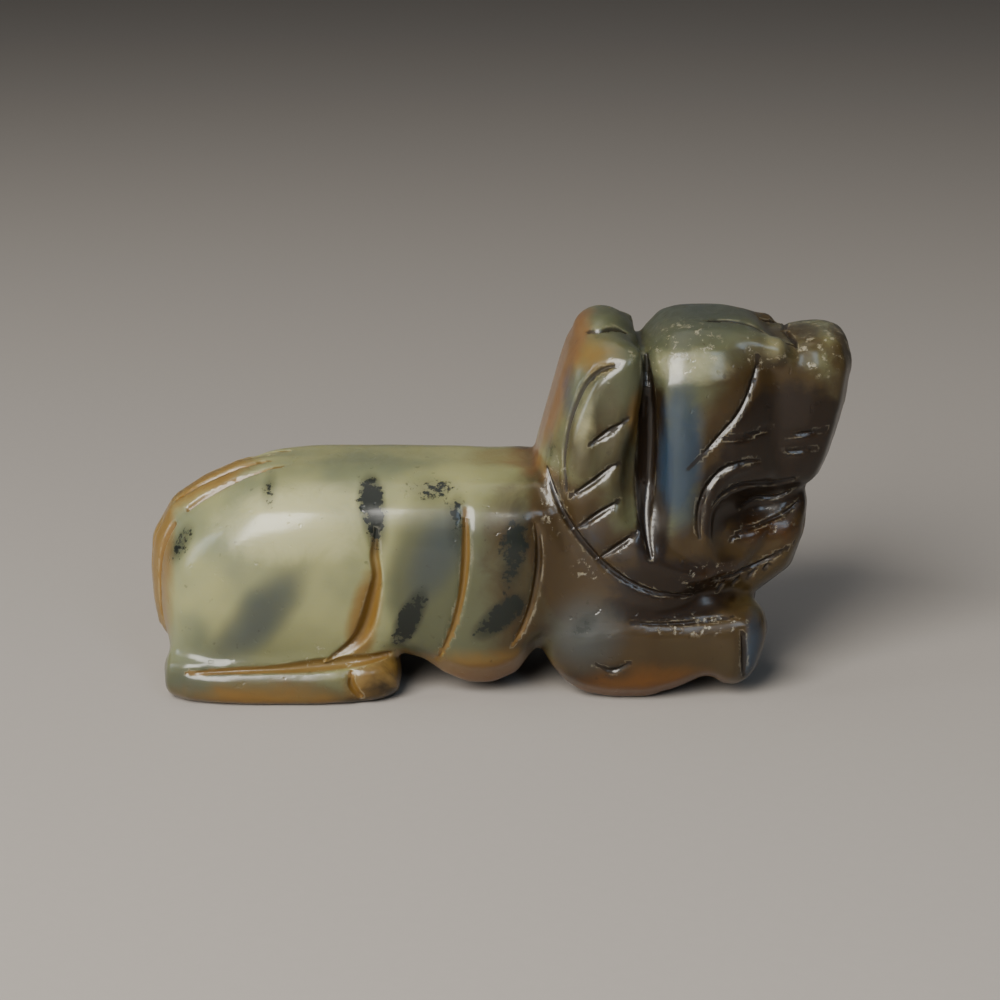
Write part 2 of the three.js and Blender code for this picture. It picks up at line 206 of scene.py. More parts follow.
# Clouds of colour that run into the stone, and clouds of painted highlight, painted reflection and painted
# shade laid on its skin. Middle and reach are hundredths, lean is degrees forward as seen from the side, and
# strength is 1 where it isn't given.
CLOUDS = [
    {"stain": "moss", "middle": (5, 0, 18), "reach": (23, 200, 50), "strength": 1.6},
    {"stain": "moss", "middle": (-32, -60, 6), "reach": (20, 40, 26), "strength": 0.7},
    {"stain": "moss", "middle": (-9, -60, 34), "reach": (8, 50, 30), "strength": 1.3},
    {"stain": "moss", "middle": (26, 0, 66), "reach": (24, 200, 60), "strength": 1.1},
    {"stain": "moss", "middle": (-34, 0, 0), "reach": (24, 200, 16), "strength": 1.2},
    {"stain": "bark", "middle": (11, -30, 40), "reach": (8, 120, 28), "lean": -20, "strength": 1.3},
    {"stain": "bark", "middle": (9, 30, 40), "reach": (8, 100, 28), "lean": -20, "strength": 1.2},
    {"stain": "bark", "middle": (24, 0, 12), "reach": (20, 200, 26), "strength": 1.3},
    {"stain": "bark", "middle": (18, 0, 34), "reach": (12, 200, 18), "strength": 1.3},
    {"stain": "bark", "middle": (14, 0, 62), "reach": (9, 100, 36), "strength": 0.5},
    {"stain": "bark", "middle": (4, 0, 26), "reach": (9, 200, 34), "strength": 0.5},
    {"stain": "bark", "middle": (34, 0, 39), "reach": (14, 200, 17), "strength": 1.3},
    {"stain": "bark", "middle": (3, -40, 50), "reach": (6, 50, 13), "strength": 0.5},
    {"stain": "bark", "middle": (-30, 0, 3), "reach": (18, 120, 10), "strength": 0.4},
    {"stain": "bark", "middle": (38, 0, 64), "reach": (14, 200, 38), "strength": 1.2},
    {"stain": "bark", "middle": (41, 0, 92), "reach": (8, 200, 20), "strength": 0.5},
    {"stain": "bark", "middle": (49, 0, 88), "reach": (5, 200, 16), "strength": 0.7},
    {"stain": "umber", "middle": (40, 0, 66), "reach": (11, 200, 22), "strength": 1.3},
    {"stain": "umber", "middle": (30.4, 0, 56), "reach": (3.2, 200, 12), "strength": 1.2},
    {"stain": "umber", "middle": (21.6, 0, 58), "reach": (3, 200, 34), "strength": 1.2},
    {"stain": "umber", "middle": (37, 0, 53), "reach": (7, 200, 7), "strength": 1.2},
    {"stain": "umber", "middle": (26, -46, 34), "reach": (12, 60, 8), "strength": 0.7},
    {"stain": "umber", "middle": (24, -20, 27), "reach": (12, 60, 6)},
    {"stain": "umber", "middle": (38, 0, 46), "reach": (7, 200, 6), "strength": 0.5},
    {"stain": "umber", "middle": (14, 0, 3), "reach": (17, 160, 9), "strength": 0.45},
    {"stain": "umber", "middle": (-17, 0, 4), "reach": (8, 120, 12), "strength": 0.3},
    # Amber: partly the stone's own skin and partly a painted glow where light comes through thin stone.
    {"stain": "amber", "middle": (-49, 0, 34), "reach": (4.6, 90, 36), "strength": 1.2},
    {"stain": "amber", "middle": (-42, 0, 58), "reach": (12, 30, 11), "lean": -30},
    {"stain": "amber", "middle": (-15, -40, 4), "reach": (8, 60, 12), "strength": 1.2},
    {"stain": "amber", "middle": (-33, 0, -2), "reach": (20, 120, 13)},
    {"stain": "amber", "middle": (-18.6, -46, 24), "reach": (2.8, 30, 17), "lean": 10},
    {"stain": "amber", "middle": (-2, 0, 5), "reach": (15, 120, 14)},
    {"stain": "amber", "middle": (4, 0, 63), "reach": (13, 36, 4), "strength": 0.7},
    {"stain": "amber", "middle": (14, -30, 93), "reach": (5, 26, 6), "strength": 0.6},
    {"stain": "amber", "middle": (38, 0, 44), "reach": (5, 200, 4), "strength": 0.25},
    {"stain": "amber", "middle": (19.4, -40, 78), "reach": (2, 30, 12), "strength": 0.6},
    {"stain": "russet", "middle": (9, 0, 84), "reach": (6, 42, 26), "lean": 8, "strength": 1.4},
    {"stain": "russet", "middle": (6, 0, 62), "reach": (6, 60, 4), "strength": 0.6},
    {"stain": "russet", "middle": (44, 0, 74), "reach": (5, 200, 8), "strength": 0.3},
    {"stain": "ember", "middle": (22, 0, -3), "reach": (16, 160, 18), "strength": 1.1},
    {"stain": "ember", "middle": (0, 0, 2), "reach": (14, 160, 12), "strength": 0.7},
    {"stain": "ember", "middle": (39, 0, 44), "reach": (6, 200, 6), "strength": 0.22},
    {"stain": "ember", "middle": (31, 0, 34), "reach": (5, 200, 5), "strength": 0.22},
    # Painted highlight: pale cream laid where the lights glint on the haunch, the head, the brow and the ear.
    {"stain": "milk", "middle": (-28, -50, 50), "reach": (16, 40, 13), "strength": 1.1},
    {"stain": "milk", "middle": (26, -38, 90.5), "reach": (8, 24, 6), "strength": 0.7},
    {"stain": "milk", "middle": (38, -24, 94), "reach": (3, 14, 6)},
    {"stain": "milk", "middle": (12, -44, 78), "reach": (2, 20, 14), "strength": 0.6},
    # Chipped places, rougher and sunk, whose paleness is partly painted glint.
    {"stain": "bruise", "middle": (-22.5, -46, 13), "reach": (6, 24, 5)},
    {"stain": "bruise", "middle": (46, 0, 93), "reach": (6, 60, 9)},
    {"stain": "bruise", "middle": (37, -26, 94), "reach": (4, 20, 6)},
    {"stain": "bruise", "middle": (24, -30, 95), "reach": (8, 30, 8), "strength": 0.8},
    {"stain": "bruise", "middle": (8, -40, 57), "reach": (2.4, 20, 12), "strength": 0.8},
    {"stain": "bruise", "middle": (38, -24, 46), "reach": (5, 30, 5), "strength": 0.35},
    {"stain": "bruise", "middle": (30, -44, 34), "reach": (5, 20, 5), "strength": 0.8},
    {"stain": "bruise", "middle": (13, -40, 37), "reach": (3, 20, 4), "strength": 0.5},
    {"stain": "bruise", "middle": (28, -44, 22), "reach": (9, 20, 3), "strength": 0.6},
    # Painted reflection: blue grey laid on the cheek ridge, the rim of the ear and the paw, as the polish
    # mirrors cool light there.
    {"stain": "slate", "middle": (25.4, -50, 68), "reach": (4, 40, 24), "strength": 1.3},
    {"stain": "slate", "middle": (16, -50, 44), "reach": (6, 40, 14), "strength": 0.3},
    {"stain": "slate", "middle": (9.6, -42, 84), "reach": (1.8, 24, 10), "strength": 0.8},
    {"stain": "slate", "middle": (36, -44, 12), "reach": (1.8, 40, 16), "strength": 0.8},
    # Grey blue clouds; the one on the foreleg shoulder and the one on the haunch, both leaning 40 degrees,
    # are painted shade.
    {"stain": "smoke", "middle": (12, -50, 20), "reach": (7, 30, 14), "lean": 40, "strength": 0.7},
    {"stain": "smoke", "middle": (30, 0, 100), "reach": (12, 60, 10), "strength": 0.5},
    {"stain": "smoke", "middle": (-33, -52, 25), "reach": (4.6, 34, 24), "lean": 40, "strength": 1.0},
    {"stain": "smoke", "middle": (-8, -52, 43), "reach": (4.4, 24, 20), "lean": 24},
    {"stain": "smoke", "middle": (-44, -50, 2), "reach": (5, 30, 9), "strength": 0.3},
    {"stain": "ink", "middle": (-17.2, -46, 54), "reach": (2.4, 30, 15), "lean": -8, "strength": 1.2},
    {"stain": "ink", "middle": (-12.2, -50, 24), "reach": (2.2, 26, 12), "lean": 24, "strength": 1.25},
    {"stain": "ink", "middle": (0.4, -50, 25), "reach": (2.4, 26, 11), "lean": 48, "strength": 1.25},
    {"stain": "ink", "middle": (2.6, -48, 45), "reach": (2.4, 22, 17), "lean": 8, "strength": 0.85},
    {"stain": "ink", "middle": (-44.6, -40, 42), "reach": (1.8, 26, 9), "lean": 34, "strength": 0.8},
    {"stain": "ink", "middle": (-31.6, -30, 57), "reach": (1.6, 20, 6), "strength": 0.6},
    {"stain": "ink", "middle": (-9, -40, 57.5), "reach": (5.4, 24, 4), "strength": 0.55},
    {"stain": "ink", "middle": (-5.6, -46, 52), "reach": (2, 24, 10), "strength": 0.6},
    {"stain": "ink", "middle": (12.2, -48, 22), "reach": (1.6, 20, 6), "lean": 40, "strength": 0.8},
    {"stain": "ink", "middle": (17, -48, 9.6), "reach": (3, 20, 3.6), "strength": 0.6},
    {"stain": "ink", "middle": (-24, 48, 44), "reach": (2.2, 24, 12), "lean": -20, "strength": 0.8},
    {"stain": "ink", "middle": (3, 46, 30), "reach": (2, 24, 10), "lean": 24, "strength": 0.8},
    {"stain": "ink", "middle": (7, -40, 68), "reach": (1.4, 20, 8), "strength": 0.5},
]
STAINS = ("moss", "bark", "umber", "amber", "russet", "ember", "slate", "milk", "smoke", "ink", "bruise")

# How the stains are laid over the clear stone, one after the other: the noise that their edges wander with
# and how far, the strengths at which they start and are full, and how much of the stone below they then hide.
LAYERS = [
    {"stain": "moss", "noise": "broad", "wander": 0.7, "starts": 0.0, "full": 0.8, "hides": 0.9},
    {"stain": "bark", "noise": "cloud", "wander": 0.7, "starts": 0.0, "full": 0.6, "hides": 0.92},
    {"stain": "amber", "noise": "cloud", "wander": 0.7, "starts": 0.05, "full": 0.8, "hides": 0.85},
    {"stain": "russet", "noise": "cloud", "wander": 0.9, "starts": 0.05, "full": 0.8, "hides": 0.85},
    {"stain": "umber", "noise": "cloud", "wander": 1.1, "starts": 0.0, "full": 0.5, "hides": 0.96},
    {"stain": "ember", "noise": "cloud", "wander": 0.7, "starts": 0.0, "full": 0.8, "hides": 0.85},
    # Partly grey blue stone and partly painted shade.
    {"stain": "smoke", "noise": "broad", "wander": 0.5, "starts": 0.0, "full": 1.0, "hides": 0.85},
    # Painted reflection of cool light.
    {"stain": "slate", "noise": "cloud", "wander": 1.4, "starts": 0.0, "full": 1.0, "hides": 0.85},
    # Painted highlight, laid thinly and broken by the noise.
    {"stain": "milk", "noise": "cloud", "wander": 1.3, "starts": 0.15, "full": 1.1, "hides": 0.42},
]

# Where two forms were ground into one: the middle and reach of each place in hundredths, mirrored to both
# flanks, and how many times it is smoothed.
MERGERS = [
    {"name": "shoulder into chest", "middle": (12, 44, 31), "reach": (10, 30, 13), "passes": 90},
    {"name": "chest into foreleg", "middle": (25, 40, 27), "reach": (10, 34, 8), "passes": 60},
    {"name": "corner of the mouth", "middle": (37.5, 34, 52.5), "reach": (8, 30, 8), "passes": 70},
    {"name": "top of the nape", "middle": (13, 30, 100), "reach": (8, 50, 10), "passes": 70},
    {"name": "flank into rump", "middle": (-45, 44, 46), "reach": (13, 30, 22), "passes": 90},
]

# The lights, in metres. Strength names the value in the panel.
LIGHTS = [
    {"name": "key softbox", "strength": "key", "size": (0.32, 0.34),
     "at": (-0.21, -0.38, 0.31), "tint": (1.0, 0.97, 0.90)},
    {"name": "overhead softbox", "strength": "fill", "size": (0.40, 0.30),
     "at": (-0.10, 0.05, 0.50), "tint": (1.0, 0.97, 0.92)},
    {"name": "cool window", "strength": "window", "size": (0.10, 0.26),
     "at": (0.16, -0.36, 0.30), "tint": (0.62, 0.80, 1.0)},
    {"name": "rump light", "strength": "rim", "size": (0.08, 0.16),
     "at": (-0.36, -0.10, 0.12), "tint": (0.8, 0.9, 1.0)},
]
AIR_TINT = (0.86, 0.86, 0.86)

SKIN_ROUGHNESS = 0.30  # of the stone where it is smoothest
FLOOR_ROUGHNESS = 0.75

LENS, SENSOR = 90, 36  # millimetres
NEAREST, FARTHEST = 0.01, 20  # metres that the camera sees
CAMERA_AT = (0.3 * MM, -226.8 * MM, 82.05 * MM)
CAMERA_DOWN = 16  # degrees below level


class StoneSizes(bpy.types.PropertyGroup):
    """Sizes of the carved stone."""
    grain: bpy.props.FloatProperty(
        name="Grain", description="Edge length of the smoothed skin", default=0.44 * MM, min=0.2 * MM,
        unit="LENGTH")
    rounding: bpy.props.IntProperty(
        name="Rounding", description="How many times the polish goes over the stone", default=25, min=0,
        max=200)
    flank_rounding: bpy.props.IntProperty(
        name="Flank rounding", description="How many more times it goes over the flanks", default=60, min=0,
        max=400)
    bite: bpy.props.FloatProperty(
        name="Bite", description="Depth of a cut for each unit of its half width", default=0.85, min=0, max=2)
    waver: bpy.props.FloatProperty(
        name="Waver", description="Unevenness that hand polishing left", default=0.05 * MM, min=0,
        unit="LENGTH")


def colour(name, description, default):
    """A colour that a user may change."""
    return bpy.props.FloatVectorProperty(
        name=name, description=description, default=default, size=3, min=0, max=1, subtype="COLOR")


class StoneColours(bpy.types.PropertyGroup):
    """Colours and polish of the jade."""
    pale: colour("Pale", "The clearest of the yellow green stone", (0.200, 0.196, 0.088))
    green: colour("Green", "The greyer green that drifts through it", (0.112, 0.120, 0.068))
    moss: colour("Moss", "The deeper green of the ribs, the ears and the head", (0.038, 0.041, 0.021))
    bark: colour("Bark", "Brown stone of the neck and forelegs", (0.026, 0.0125, 0.0020))
    umber: colour("Umber", "Nearly black brown of the face", (0.007, 0.0030, 0.0006))
    # Amber is partly the stone's own skin and partly a painted glow where light comes through thin stone.
    amber: colour("Amber", "Where the stone is thin and at its skin", (0.125, 0.065, 0.010))
    russet: colour("Russet", "Iron stain at the nape", (0.12, 0.055, 0.017))
    ember: colour("Ember", "Orange brown where light gets through the underside", (0.095, 0.034, 0.003))
    # This grey blue is partly the stone's own and partly painted shade on the foreleg shoulder and the
    # haunch.
    smoke: colour("Smoke and shade", "Grey blue clouds", (0.024, 0.031, 0.032))
    # Painted reflection: this blue grey stands for the cool sheen on the cheek, the rim of the ear and the
    # paw.
    slate: colour("Painted blue reflection", "Bluer stone of the cheek and the paw", (0.014, 0.027, 0.046))
    # Painted highlight: this pale cream is laid where the lights glint, at the crown of the haunch and the
    # head.
    milk: colour("Painted highlight", "Clearer cream stone at the crown of the haunch and the head", (0.40, 0.385, 0.22))
    # Painted glint: this pale colour lines the edges of the cuts and the bruises, partly as chipped stone.
    frost_and_glint: colour("Frost and glint", "Bruised edges of the cuts", (0.32, 0.29, 0.21))
    ink: colour("Ink", "Black green inclusions", (0.003, 0.005, 0.003))
    gloss: bpy.props.FloatProperty(
        name="Gloss", description="Roughness of the wax on the polished skin", default=0.18, min=0, max=1,
        subtype="FACTOR")
    depth: bpy.props.FloatProperty(
        name="Depth", description="How far light wanders in the stone", default=2.0 * MM, min=0,
        unit="LENGTH")


class StageSizes(bpy.types.PropertyGroup):
    """Floor and lights."""
    floor: bpy.props.FloatProperty(
        name="Floor", description="Width of the floor", default=4, min=0.5, unit="LENGTH")
    floor_colour: colour("Floor colour", "Paper under the dog", (0.275, 0.25, 0.228))
    key: bpy.props.FloatProperty(
        name="Key", description="Strength of the softbox at the front", default=7.2, min=0, unit="POWER")
    fill: bpy.props.FloatProperty(
        name="Fill", description="Strength of the softbox overhead", default=0.4, min=0, unit="POWER")
    window: bpy.props.FloatProperty(
        name="Window", description="Strength of the cool light at the right", default=0.45, min=0,
        unit="POWER")
    rim: bpy.props.FloatProperty(
        name="Rim", description="Strength of the cool light at the rump", default=0.3, min=0, unit="POWER")
    air: bpy.props.FloatProperty(
        name="Air", description="Strength of the light that comes from everywhere", default=0.12, min=0,
        max=5)


# Carving


def welded_copy(solid):
    """The solid's shape as one closed skin of shared corners."""
    skin = bmesh.new()
    skin.from_mesh(solid.data)
    bmesh.ops.remove_doubles(skin, verts=skin.verts, dist=WELD_GAP)
    mesh = bpy.data.meshes.new("carved_jade")
    skin.to_mesh(mesh)
    skin.free()
    piece = bpy.data.objects.new("carved_jade", mesh)
    bpy.context.scene.collection.objects.link(piece)
    return piece


def even_skin(piece, grain):
    """Covers the piece with a skin of even squares."""
    remesh = piece.modifiers.new("skin", "REMESH")
    remesh.mode = "VOXEL"
    remesh.voxel_size = grain
    apply_modifiers(piece)


def apply_modifiers(piece):
    """Makes the modified shape the piece's own."""
    depsgraph = bpy.context.evaluated_depsgraph_get()
    finished = bpy.data.meshes.new_from_object(piece.evaluated_get(depsgraph))
    piece.modifiers.clear()
    piece.data = finished
    finished.name = piece.name


def corners(mesh):
    """The places of a mesh's corners."""
    spots = np.empty(len(mesh.vertices) * 3)
    mesh.vertices.foreach_get("co", spots)
    return spots.reshape(-1, 3)


def outward(mesh):
    """The direction out of the stone at each corner."""
    normals = np.empty(len(mesh.vertices) * 3)
    mesh.vertex_normals.foreach_get("vector", normals)
    return normals.reshape(-1, 3)


def edge_ends(mesh):
    """The two corners of each edge."""
    ends = np.empty(len(mesh.edges) * 2, dtype=np.int64)
    mesh.edges.foreach_get("vertices", ends)
    return ends.reshape(-1, 2)


def eased(spots, ends, step, passes, return_step=0.0, where=1.0):
    """Moves each corner towards the middle of its neighbours, and then by return_step if that is given. Where
    is a share of the move, one for all or one for each corner."""
    spots = spots.copy()
    count = len(spots)
    near = np.bincount(ends.ravel(), minlength=count)[:, None]
    for _ in range(passes):
        for share in (step, return_step):
            if share == 0:
                continue
            total = np.stack([
                np.bincount(ends[:, 0], spots[ends[:, 1], axis], count)
                + np.bincount(ends[:, 1], spots[ends[:, 0], axis], count) for axis in range(3)], axis=1)
            spots += share * where * (total / near - spots)
    return spots


def set_corners(mesh, spots):
    """Puts the corners at these places."""
    mesh.vertices.foreach_set("co", spots.ravel())
    mesh.update()


def tree_of(mesh):
    """A search tree of the mesh's faces."""
    skin = bmesh.new()
    skin.from_mesh(mesh)
    tree = BVHTree.FromBMesh(skin)
    skin.free()
    return tree


def smooth_rows(rows, step):
    """Points of a smooth curve through the rows, each as long as a row, and about a step apart at most."""
    rows = [np.array(row, dtype=float) for row in rows]
    rows = [2 * rows[0] - rows[1], *rows, 2 * rows[-1] - rows[-2]]
    points = []
    for before, start, end, after in zip(rows, rows[1:], rows[2:], rows[3:]):
        span = np.abs((end - start)[:2]).max() * LENGTH / 100
        count = max(2, math.ceil(span / step))
        for i in range(count):
            t = i / count
            points.append(0.5 * (
                2 * start + (end - before) * t + (2 * before - 5 * start + 4 * end - after) * t * t
                + (3 * start - before - 3 * end + after) * t ** 3))
    points.append(rows[-2])
    return points


# For each way to see a cut: where the line of sight to a place starts, and its direction.
RAYS = {
    "side": lambda a, b, side: (place(a, OUTSIDE * side, b), Vector((0, -side, 0))),
    "above": lambda a, b, side: (place(a, b * side, OUTSIDE), Vector((0, 0, -1))),
    "behind": lambda a, b, side: (place(-OUTSIDE, a * side, b), Vector((1, 0, 0))),
    "front": lambda a, b, side: (place(OUTSIDE, a * side, b), Vector((-1, 0, 0))),
}


def cut_track(cut, side, tree):
    """Where a cut runs on the stone: its points, and its half width at each."""
    track = []
    for a, b, half_width in smooth_rows(cut["rows"], TRACK_STEP):
        start, direction = RAYS[cut["seen"]](a, b, side)
        hit = tree.ray_cast(start, direction)[0]
        if hit is None:
            raise RuntimeError(f"the cut '{cut['name']}' leaves the stone at {a:.1f}, {b:.1f}")
        track.append((*hit, max(half_width * MM, LEAST_HALF_WIDTH)))
    return np.array(track)


def closeness(spots, tracks):
    """How deep in a cut each corner is, from 0 at its edge to 1 on its line, and the half width there."""
    depth = np.zeros(len(spots))
    width = np.zeros(len(spots))
    for track in tracks:
        reach = track[:, 3].max() * SEARCH_REACH
        low = track[:, :3].min(axis=0) - reach
        high = track[:, :3].max(axis=0) + reach
        close = np.flatnonzero(np.all((spots > low) & (spots < high), axis=1))
        if not len(close):
            continue
        gaps = np.linalg.norm(spots[close, None, :] - track[None, :, :3], axis=2)
        share = gaps / track[None, :, 3]
        best = share.argmin(axis=1)
        value = 1 - share[np.arange(len(close)), best]
        better = value > depth[close]
        depth[close[better]] = value[better]
        width[close[better]] = track[best[better], 3]
    return depth, width


def soften(value):
    """An eased ramp from 0 to 1."""
    value = np.clip(value, 0, 1)
    return value * value * (3 - 2 * value)


def widened(tracks, share):
    """The same tracks with their half widths multiplied."""
    return [track * (1, 1, 1, share) for track in tracks]


def finer_at_cuts(mesh, tracks, reach):
    """Halves the edges that a cut passes over, so that its walls stay crisp."""
    depth, _ = closeness(corners(mesh), widened(tracks, reach))
    skin = bmesh.new()
    skin.from_mesh(mesh)
    skin.verts.ensure_lookup_table()
    inside = [edge for edge in skin.edges if all(depth[end.index] > 0 for end in edge.verts)]
    bmesh.ops.subdivide_edges(skin, edges=inside, cuts=1, use_grid_fill=True)
    skin.to_mesh(mesh)
    skin.free()


def ellipsoid(spots, middle, reach, lean=0.0):
    """How near each corner is to the middle of an ellipsoid: 1 there, and 0 from its edge on."""
    offset = spots - np.array(place(*middle))
    slant = math.radians(lean)
    across = offset[:, 0] * math.cos(slant) - offset[:, 2] * math.sin(slant)
    up = offset[:, 2] * math.cos(slant) + offset[:, 0] * math.sin(slant)
    size = np.array(place(*reach))
    distance = (across / size[0]) ** 2 + (offset[:, 1] / size[1]) ** 2 + (up / size[2]) ** 2
    return np.clip(1 - distance, 0, 1)


def on_both_flanks(spots, area):
    """How near each corner is to an area that is mirrored, for each flank."""
    x, y, z = area["middle"]
    return [ellipsoid(spots, (x, y * side, z), area["reach"]) for side in (NEAR, FAR)]


def flank_share(spots):
    """1 on the flat of the flanks and 0 elsewhere."""
    out = soften((np.abs(spots[:, 1]) - FLANK_OUT) / FLANK_OUT_EDGE)
    along = soften((FLANK_FRONT - spots[:, 0]) / FLANK_FRONT_EDGE)
    up = soften((spots[:, 2] - FLANK_UP) / FLANK_UP_EDGE)
    return out * along * up


def polished(mesh, sizes):
    """The corners after the stone is rounded, its forms are ground into one and the flanks are smoothed."""
    ends = edge_ends(mesh)
    spots = eased(corners(mesh), ends, SMOOTHING, sizes.rounding, SWELLING)
    for merger in MERGERS:
        where = soften(2 * sum(on_both_flanks(spots, merger)))
        spots = eased(spots, ends, SMOOTHING, merger["passes"], where=where[:, None])
    return eased(spots, ends, SMOOTHING, sizes.flank_rounding, where=flank_share(spots)[:, None])


def tracks_on(mesh):
    """Where each cut runs on the stone as it is now, on both flanks."""
    tree = tree_of(mesh)
    return [cut_track(cut, side, tree) for cut in CUTS for side in (NEAR, FAR)]


def filled(mesh, spots):
    """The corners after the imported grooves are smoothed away."""
    depth, _ = closeness(spots, widened(tracks_on(mesh), FILLING_REACH))
    return eased(spots, edge_ends(mesh), SMOOTHING, FILLING_PASSES, where=soften(2 * depth)[:, None])


def stain_strength(spots, stain):
    """How strong a stain is at each corner."""
    strength = np.zeros(len(spots))
    for cloud in CLOUDS:
        if cloud["stain"] == stain:
            nearness = ellipsoid(spots, cloud["middle"], cloud["reach"], cloud.get("lean", 0))
            strength = np.maximum(strength, cloud.get("strength", 1) * nearness)
    return strength


def lifted_by_dabs(spots, normals):
    """The corners after the broad hollows and swells are ground."""
    lift = np.zeros(len(spots))
    for dab in DABS:
        for nearness in on_both_flanks(spots, dab):
            lift += dab["lift"] * MM * soften(nearness)
    return spots + normals * lift[:, None]


def wavered(spots, normals, waver):
    """The corners after hand polishing, which leaves a slow unevenness."""
    rise = np.array([noise.noise(Vector(spot) * WAVES) for spot in spots])
    return spots + normals * (waver * rise)[:, None]


def paint(mesh, name, values):
    """Stores one number for each corner of the mesh."""
    layer = mesh.attributes.new(name, "FLOAT", "POINT")
    layer.data.foreach_set("value", np.ascontiguousarray(values, dtype=np.float32))


def hollowness(mesh):
    """How far each corner lies under the general surface, in millimetres; ridges are negative."""
    spots = corners(mesh)
    general = eased(spots, edge_ends(mesh), SMOOTHING, HOLLOW_PASSES)
    return np.einsum("ij,ij->i", general - spots, outward(mesh)) / MM


# Finish


def put(tree, kind, inputs=None, **settings):
    """Adds a node with its settings, and its inputs as values or links."""
    made = tree.nodes.new(kind)
    for name, value in settings.items():
        setattr(made, name, value)
    for socket, value in (inputs or {}).items():
        if isinstance(value, bpy.types.NodeSocket):
            tree.links.new(value, made.inputs[socket])
        else:
            made.inputs[socket].default_value = value
    return made


def math_of(tree, operation, a, b):
    """The result of one sum."""
    return put(tree, "ShaderNodeMath", {0: a, 1: b}, operation=operation).outputs[0]


def ramp(tree, value, low, high):
    """0 up to low, 1 from high, and eased between."""
    return put(tree, "ShaderNodeMapRange", {"Value": value, "From Min": low, "From Max": high},
               interpolation_type="SMOOTHSTEP").outputs["Result"]


def stained(tree, under, over, share):
    """One colour laid over another by a share."""
    return put(tree, "ShaderNodeMix", {0: share, 6: under, 7: over}, data_type="RGBA").outputs[2]


def drift(tree, where, scale, detail=3.0, roughness=0.5, stretch=None, distortion=0.0):
    """Cloudy noise at a place in the stone."""
    if stretch:
        where = put(tree, "ShaderNodeMapping", {"Vector": where, "Scale": stretch}).outputs[0]
    return put(tree, "ShaderNodeTexNoise", {
        "Vector": where, "Scale": scale, "Detail": detail, "Roughness": roughness,
        "Distortion": distortion}).outputs["Fac"]


def opaque(rgb):
    """A colour with full alpha."""
    return (*rgb, 1.0)


def share_of(tree, value, share):
    """A part of a value."""
    return math_of(tree, "MULTIPLY", value, share)


def swing(tree, noise_field, height):
    """Noise that swings to both sides of zero."""
    return share_of(tree, math_of(tree, "SUBTRACT", noise_field, 0.5), height)


def spread(tree, stain, noise_field, wander, starts, full):
    """How full a stain is, with an edge that wanders with the noise."""
    edge = math_of(tree, "MULTIPLY", ramp(tree, stain, low=0, high=0.2), swing(tree, noise_field, wander))
    return ramp(tree, math_of(tree, "ADD", stain, edge), low=starts, high=full)


def layered_stone(tree, colours, painted, noises):
    """The clear stone with its stains laid over it."""
    clear = ramp(tree, noises["broad"], low=0.40, high=0.66)
    base = stained(tree, opaque(colours.pale), opaque(colours.green), clear)
    for layer in LAYERS:
        name = layer["stain"]
        fullness = spread(
            tree, painted[name], noises[layer["noise"]], layer["wander"], layer["starts"], layer["full"])
        base = stained(tree, base, opaque(getattr(colours, name)), share_of(tree, fullness, layer["hides"]))
    return base


def darkened_cuts(tree, base, where, colours, painted):
    """The cuts darker, amber on the body and umber from the neck on, and painted shade in the hollows."""
    along = put(tree, "ShaderNodeSeparateXYZ", {0: where}).outputs["X"]
    towards_face = ramp(tree, along, low=0.02 * LENGTH, high=0.07 * LENGTH)
    groove = stained(tree, opaque(colours.amber), opaque(colours.umber), towards_face)
    in_cut = share_of(tree, ramp(tree, painted["cut"], low=0.1, high=0.5), share=0.8)
    base = stained(tree, base, groove, in_cut)
    # Painted shade: umber darkens the hollows, where the skin lies under the general surface.
    painted_hollow_shade = share_of(tree, ramp(tree, painted["hollow"], low=0.15, high=0.9), share=0.6)
    return stained(tree, base, opaque(colours.umber), painted_hollow_shade)


def inked_stone(tree, base, where, colours, painted, noises):
    """The stone with its black green inclusions, crumbled at their edges, and a few dark motes."""
    crumbs = math_of(tree, "ADD", swing(tree, noises["fleck"], height=1.7),
                     swing(tree, noises["cloud"], height=1.6))
    crumbled = ramp(tree, math_of(tree, "ADD", painted["ink"], crumbs), low=0.42, high=0.78)
    specks = math_of(tree, "MULTIPLY", crumbled, ramp(tree, painted["ink"], low=0, high=0.1))
    soft = spread(tree, painted["ink"], noises["cloud"], wander=0.5, starts=0.0, full=0.9)
    ink = math_of(tree, "MAXIMUM", specks, share_of(tree, soft, share=0.7))
    base = stained(tree, base, opaque(colours.ink), ink)
    motes = ramp(tree, drift(tree, where, scale=900, detail=2, roughness=0.5), low=0.70, high=0.76)
    return stained(tree, base, opaque(colours.umber), share_of(tree, motes, share=0.35))


def bruised_places(tree, where, painted):
    """Where the skin of the stone is chipped; its paleness there is partly painted glint."""
    crushed = ramp(tree, drift(tree, where, scale=1300, detail=4, roughness=0.7), low=0.56, high=0.66)
    return math_of(tree, "MULTIPLY", ramp(tree, painted["bruise"], low=0, high=0.4), crushed)


def frosted_and_glinting_stone(tree, base, where, colours, painted, bruise):
    """The stone painted pale along the edges of the cuts, as chipped stone and as painted glints, and at its
    bruises.
    """
    # Painted glint: a pale line, broken by noise, along the edge of each cut.
    outer = ramp(tree, painted["cut"], low=0.02, high=0.12)
    inner = ramp(tree, painted["cut"], low=0.16, high=0.34)
    edge = math_of(tree, "SUBTRACT", outer, inner)
    broken = ramp(tree, drift(tree, where, scale=700, detail=3, roughness=0.6), low=0.42, high=0.62)
    edge_chips_and_glints = math_of(tree, "MULTIPLY", edge, broken)
    frost_and_glint = math_of(tree, "MAXIMUM", share_of(tree, edge_chips_and_glints, share=0.22), share_of(tree, bruise, share=0.4))
    return stained(tree, base, opaque(colours.frost_and_glint), frost_and_glint)


